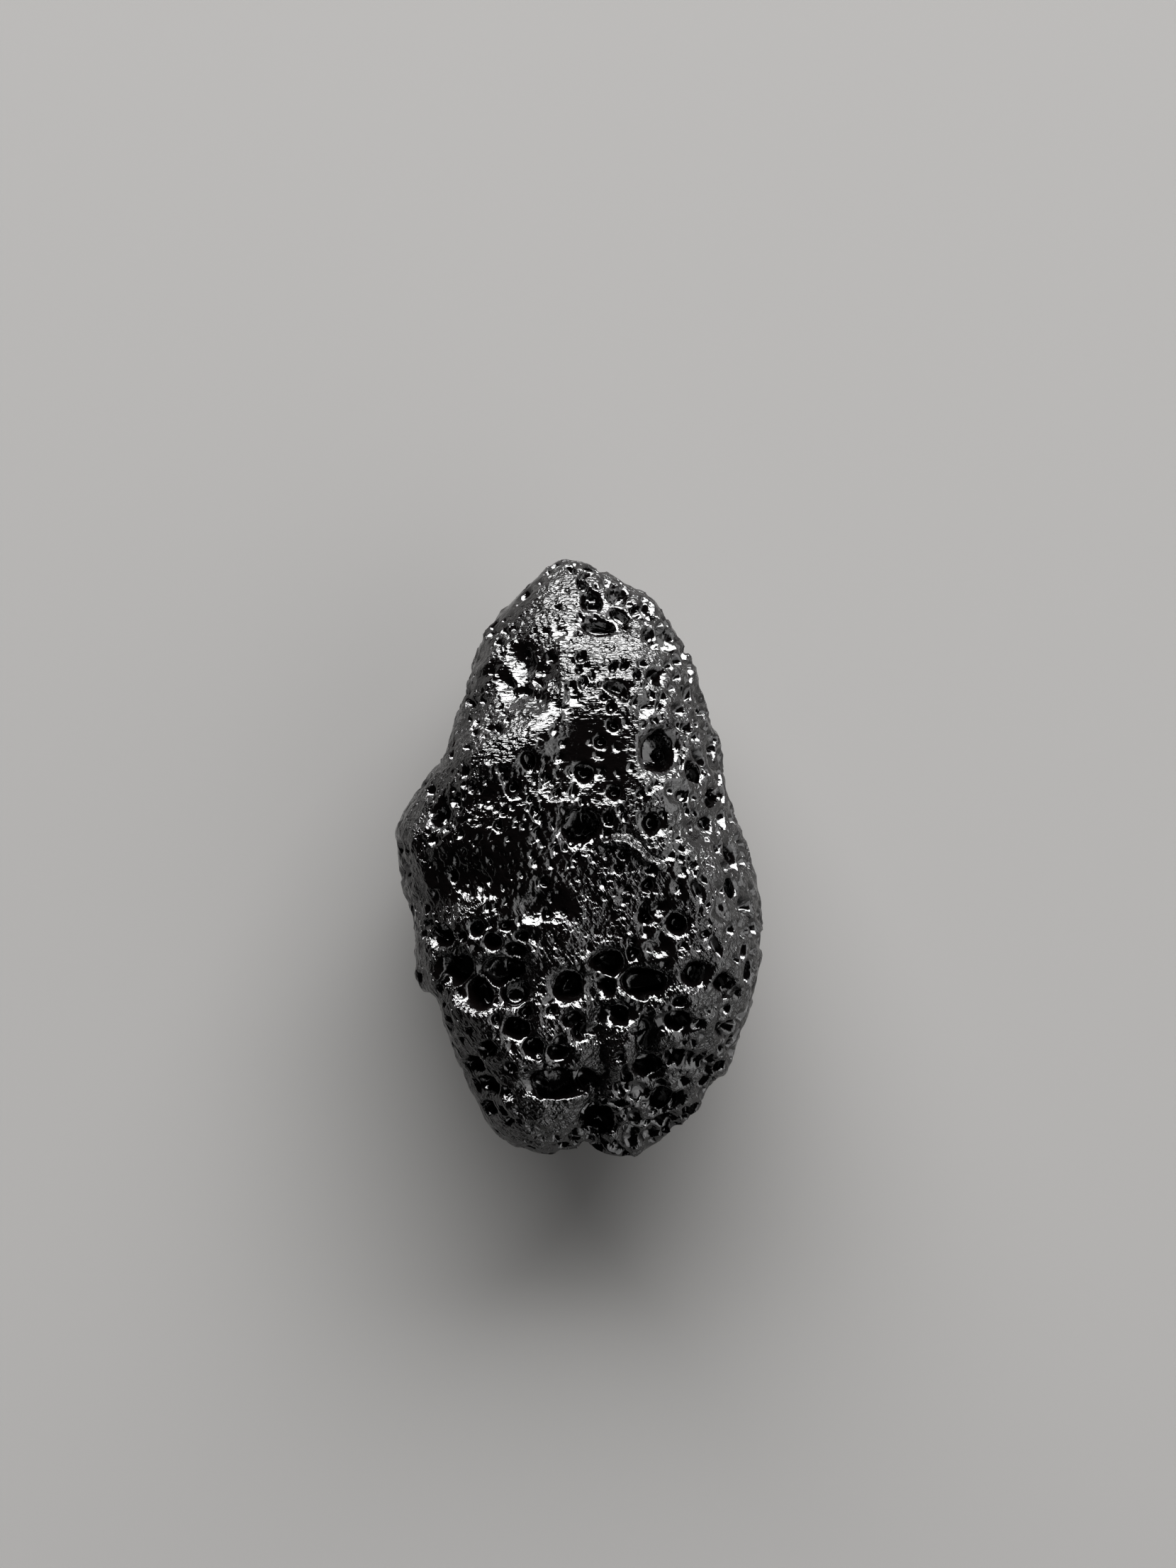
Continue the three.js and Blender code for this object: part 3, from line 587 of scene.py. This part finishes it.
# %% Object
FLAT_SPOT = 0.24  # mm, how much of the underside the flat spot takes off
stone = bpy.data.objects.new("tektite_stone", stone_mesh)
bpy.context.scene.collection.objects.link(stone)
stone_mesh.shade_smooth()
place = read(stone_mesh)
middle = (place.max(axis=0) + place.min(axis=0)) / 2
place -= (middle[0], middle[1], -DROP + FLAT_SPOT)
place[:, 2] = np.maximum(place[:, 2], 0)
write(stone_mesh, place * MM)
worn = stone_mesh.attributes.new("worn", "FLOAT", "POINT")
worn.data.foreach_set("value", calm.astype(np.float32))
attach(stone, "root")
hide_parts("tektite")
size = (place.max(axis=0) - place.min(axis=0)).round(2)
print("stone in mm:", size, "resting on", (place[:, 2] == 0).sum(), "points")

# %% [markdown]
# ## The glass
# Tektite glass: natural silica glass, quenched from a melt and then etched in wet ground. It is so full of
# iron that it looks black even in thin edges. The eye gets nearly all of it from gloss: the pits are bright
# as a mirror, and the wrinkled skin between them breaks every reflection into sparks and short streaks. A
# glass shader that lets light through would cost time and show nothing, so the colour is opaque and nearly
# black, with a slow drift to brown, and the gloss drifts with it.


# %% Colours and nodes
def colour(code):
    """A linear colour from an sRGB hex value."""
    channels = [int(code[start : start + 2], 16) / 255 for start in (1, 3, 5)]
    return tuple(c / 12.92 if c <= 0.04045 else ((c + 0.055) / 1.055) ** 2.4 for c in channels) + (1.0,)


def add(tree, kind, inputs, **settings):
    """Adds a node with its settings. Each input is given a value, or the output that is linked to it."""
    node = tree.nodes.new(kind)
    for name, value in settings.items():
        setattr(node, name, value)
    for name, value in inputs.items():
        if isinstance(value, bpy.types.NodeSocket):
            tree.links.new(value, node.inputs[name])
        else:
            node.inputs[name].default_value = value
    return node


BLACK_GLASS, BROWN_GLASS = "#010101", "#030202"
print("the glass in linear light:", [round(c, 5) for c in colour(BROWN_GLASS)])

# %% Black glass
GLASS_IOR = 1.5
DRIFT_SIZE = 1.6 * MM  # as wide as the schlieren, the streaks of slightly different glass
DRIFT_LOW, DRIFT_HIGH = 0.3, 0.7  # what the noise's values mostly lie between
GLOSSY, LESS_GLOSSY = 0.04, 0.11  # roughness
glass = bpy.data.materials.new("tektite_glass_etched")
glass.use_nodes = True
tree = glass.node_tree
shader = tree.nodes["Principled BSDF"]
spot = add(tree, "ShaderNodeTexCoord", {}).outputs["Object"]
drift_inputs = {"Vector": spot, "Scale": 1 / DRIFT_SIZE, "Detail": 3.0}
drift = add(tree, "ShaderNodeTexNoise", drift_inputs).outputs["Fac"]
# Of this node's sockets, 6 and 7 are the two colours and output 2 is their mix.
tint_inputs = {0: drift, 6: colour(BLACK_GLASS), 7: colour(BROWN_GLASS)}
tint = add(tree, "ShaderNodeMix", tint_inputs, data_type="RGBA")
gloss_range = {"From Min": DRIFT_LOW, "From Max": DRIFT_HIGH, "To Min": GLOSSY, "To Max": LESS_GLOSSY}
gloss = add(tree, "ShaderNodeMapRange", {"Value": drift, **gloss_range})
shader.inputs["IOR"].default_value = GLASS_IOR
tree.links.new(tint.outputs[2], shader.inputs["Base Color"])
tree.links.new(gloss.outputs["Result"], shader.inputs["Roughness"])
print("glass drifts over", round(DRIFT_SIZE / MM, 1), "mm")

# %% [markdown]
# ## Relief finer than the mesh
# Three patterns, as on the real skin: cups about 0.1 mm apart, wrinkles that follow the flow lines, and
# pores, the smallest bubbles. The finest etching on such glass is only a few thousandths of a millimetre
# apart and would show as haze, so the cups are the finest that are drawn. All three fade out inside the
# pits and on the smooth patches. They could be cut into the mesh, but it would need millions of triangles,
# so they are bumps.

# %% Etched cups
CELL = 0.12 * MM
WANDER = 0.16 * MM  # how far the cells are bent out of shape
WANDER_SIZE = 0.2 * MM
wander = add(tree, "ShaderNodeTexNoise", {"Vector": spot, "Scale": 1 / WANDER_SIZE, "Detail": 1.0})
wander_inputs = {0: wander.outputs["Color"], 1: (WANDER, WANDER, WANDER), 2: spot}
wandered = add(tree, "ShaderNodeVectorMath", wander_inputs, operation="MULTIPLY_ADD").outputs["Vector"]
cups = add(tree, "ShaderNodeTexVoronoi", {"Vector": wandered, "Scale": 1 / CELL}).outputs["Distance"]
cup_height = add(tree, "ShaderNodeMath", {0: cups, 1: 2.0}, operation="POWER").outputs["Value"]
print("cups every", round(CELL / MM, 2), "mm")

# %% Wrinkles
STREAK_LENGTH, STREAK_WIDTH = 0.3 * MM, 0.065 * MM


def streaks(degrees):
    """Fine wrinkles along a direction, seen from above."""
    size = (STREAK_LENGTH, STREAK_WIDTH, STREAK_WIDTH)
    turn = (0, 0, math.radians(degrees))
    along = add(
        tree, "ShaderNodeMapping", {"Vector": spot, "Rotation": turn, "Scale": size}, vector_type="TEXTURE"
    ).outputs["Vector"]
    return add(tree, "ShaderNodeTexNoise", {"Vector": along, "Scale": 1.0, "Detail": 2.0}).outputs["Fac"]


lengthwise = add(tree, "ShaderNodeSeparateXYZ", {"Vector": spot}).outputs["Y"]
turn_inputs = {"Value": lengthwise, "From Min": TURN_FROM * MM, "From Max": TURN_TO * MM}
narrow_end = add(tree, "ShaderNodeMapRange", turn_inputs).outputs["Result"]
wrinkle_inputs = {"Factor": narrow_end, "A": streaks(ASKEW), "B": streaks(0)}
wrinkles = add(tree, "ShaderNodeMix", wrinkle_inputs).outputs["Result"]
print("wrinkles", round(STREAK_LENGTH / MM, 2), "by", round(STREAK_WIDTH / MM, 3), "mm")

# %% Pores
PORE_SPACING = 0.42 * MM
PORE_FLOOR, PORE_RIM = 0.12, 0.26  # shares of the spacing
pores = add(tree, "ShaderNodeTexVoronoi", {"Vector": spot, "Scale": 1 / PORE_SPACING}).outputs["Distance"]
pore_inputs = {"Value": pores, "From Min": PORE_FLOOR, "From Max": PORE_RIM}
pore_height = add(tree, "ShaderNodeMapRange", pore_inputs, interpolation_type="SMOOTHSTEP").outputs["Result"]
print("pores", round(2 * PORE_RIM * PORE_SPACING / MM, 2), "mm across")

# %% Putting the relief on
LEFT_IN_PITS = 0.12  # share of the fine relief
PORE_DEPTH, CUP_RELIEF, WRINKLE_RELIEF = 0.04 * MM, 0.035 * MM, 0.05 * MM
worn_off = add(tree, "ShaderNodeAttribute", {}, attribute_name="worn").outputs["Fac"]
left_inputs = {"Value": worn_off, "To Min": 1.0, "To Max": LEFT_IN_PITS}
left = add(tree, "ShaderNodeMapRange", left_inputs).outputs["Result"]
fine = {}
for height, depth in ((pore_height, PORE_DEPTH), (cup_height, CUP_RELIEF), (wrinkles, WRINKLE_RELIEF)):
    bump = add(tree, "ShaderNodeBump", {"Height": height, "Distance": depth, "Strength": left, **fine})
    fine = {"Normal": bump.outputs["Normal"]}
tree.links.new(fine["Normal"], shader.inputs["Normal"])
stone_mesh.materials.append(glass)
print("nodes of the glass:", len(tree.nodes))

# %% [markdown]
# ## The floor
# A sheet of plain card, large enough to fill every view. Black glass gives back only a twenty-fifth of the
# light, so the lights are strong, and the card is a mid grey, which comes out pale under them.

# %% Floor
FLOOR_HALF = 0.6
CARD = "#5B5A59"
CARD_ROUGHNESS = 0.9
sheet = bmesh.new()
bmesh.ops.create_grid(sheet, x_segments=1, y_segments=1, size=FLOOR_HALF)
floor_mesh = bpy.data.meshes.new("floor")
sheet.to_mesh(floor_mesh)
sheet.free()
floor = bpy.data.objects.new("floor", floor_mesh)
bpy.context.scene.collection.objects.link(floor)
card = bpy.data.materials.new("uncoated_card")
card.use_nodes = True
card_shader = card.node_tree.nodes["Principled BSDF"]
card_shader.inputs["Base Color"].default_value = colour(CARD)
card_shader.inputs["Roughness"].default_value = CARD_ROUGHNESS
floor_mesh.materials.append(card)
print("floor:", 2 * FLOOR_HALF, "m across")

# %% [markdown]
# ## The camera
# It looks straight down on the stone from 150 mm, as a macro lens does. The lens follows from the height of
# the frame at the stone: sensor over focal length is the same as frame over distance.

# %% Camera
FRAME_HEIGHT = 37.83 * MM
CAMERA_AWAY = 0.15
STONE_HEIGHT = 3 * MM  # of the part of the stone that the frame is measured at
AIM = (0.215 * MM, 1.789 * MM)
SENSOR = 24
camera_data = bpy.data.cameras.new("camera")
camera_data.sensor_fit = "VERTICAL"
camera_data.sensor_height = SENSOR
camera_data.lens = SENSOR * CAMERA_AWAY / FRAME_HEIGHT
camera = bpy.data.objects.new("camera", camera_data)
camera.location = (*AIM, STONE_HEIGHT + CAMERA_AWAY)
bpy.context.scene.collection.objects.link(camera)
bpy.context.scene.camera = camera
bpy.context.scene.view_settings.view_transform = "Standard"
print("lens:", round(camera_data.lens, 1), "mm")

# %% [markdown]
# ## The light
# A glossy black thing shows nothing but its reflections, so the lights are chosen for how they are
# mirrored. A broad soft box stands low beyond the narrow end: slopes that face it by 24 to 40 degrees light
# up, and level places stay black, as they mirror the dark above. Round it the sky glows softly, and two
# weaker glows on the right lift the flank and the blunt tip. They could be more soft boxes, but their edges
# would show in the pits.

# %% Glows of the sky
DIM = 0.01  # strength of the sky away from the glows
SKY = "#FFFFFF"
# Name, direction, how the axes are shortened, cosine of the angle at which it fades out, and strength.
GLOWS = [
    ("key", (0.12, 0.88, 0.45), (0.55, 1, 1), 0.85, 5.7),
    ("side", (0.9, 0.2, 0.42), (1, 1, 1), 0.8, 3.5),
    ("fill", (0.7, -0.55, 0.45), (1, 1, 1), 0.75, 2.4),
]
world = bpy.data.worlds.new("studio")
bpy.context.scene.world = world
world.use_nodes = True
sky = world.node_tree
looking = add(sky, "ShaderNodeTexCoord", {}).outputs["Generated"]


def glow(name, toward, narrowed, edge, strength):
    """A soft glow of the sky round a direction. Narrowed shortens axes, which widens the glow along them."""
    kind = "ShaderNodeVectorMath"
    squeezed = add(sky, kind, {0: looking, 1: narrowed}, operation="MULTIPLY").outputs["Vector"]
    level = add(sky, kind, {0: squeezed}, operation="NORMALIZE").outputs["Vector"]
    middle = (Vector(toward) * Vector(narrowed)).normalized()
    near = add(sky, kind, {0: level, 1: middle}, operation="DOT_PRODUCT").outputs["Value"]
    print(name, "glow fades out", round(math.degrees(math.acos(edge))), "degrees off, strength", strength)
    fade = {"Value": near, "From Min": edge, "From Max": 1.0, "To Min": 0.0, "To Max": strength}
    return add(sky, "ShaderNodeMapRange", fade, interpolation_type="SMOOTHERSTEP").outputs["Result"]


strength = DIM
for lit in [glow(*described) for described in GLOWS]:
    strength = add(sky, "ShaderNodeMath", {0: strength, 1: lit}, operation="ADD").outputs["Value"]
backdrop = sky.nodes["Background"]
backdrop.inputs["Color"].default_value = colour(SKY)
sky.links.new(strength, backdrop.inputs["Strength"])

# %% Soft box
BOX_PLACE = Vector((0.02, 0.34, 0.18))
BOX_WIDTH, BOX_HEIGHT, BOX_WATTS = 0.6, 0.24, 12.0
key = bpy.data.lights.new("key", "AREA")
key.shape = "RECTANGLE"
key.size, key.size_y, key.energy = BOX_WIDTH, BOX_HEIGHT, BOX_WATTS
box = bpy.data.objects.new("key", key)
box.location = BOX_PLACE
box.rotation_euler = (-BOX_PLACE).to_track_quat("-Z", "Y").to_euler()
bpy.context.scene.collection.objects.link(box)
print("soft box", round(BOX_PLACE.length, 2), "m away")
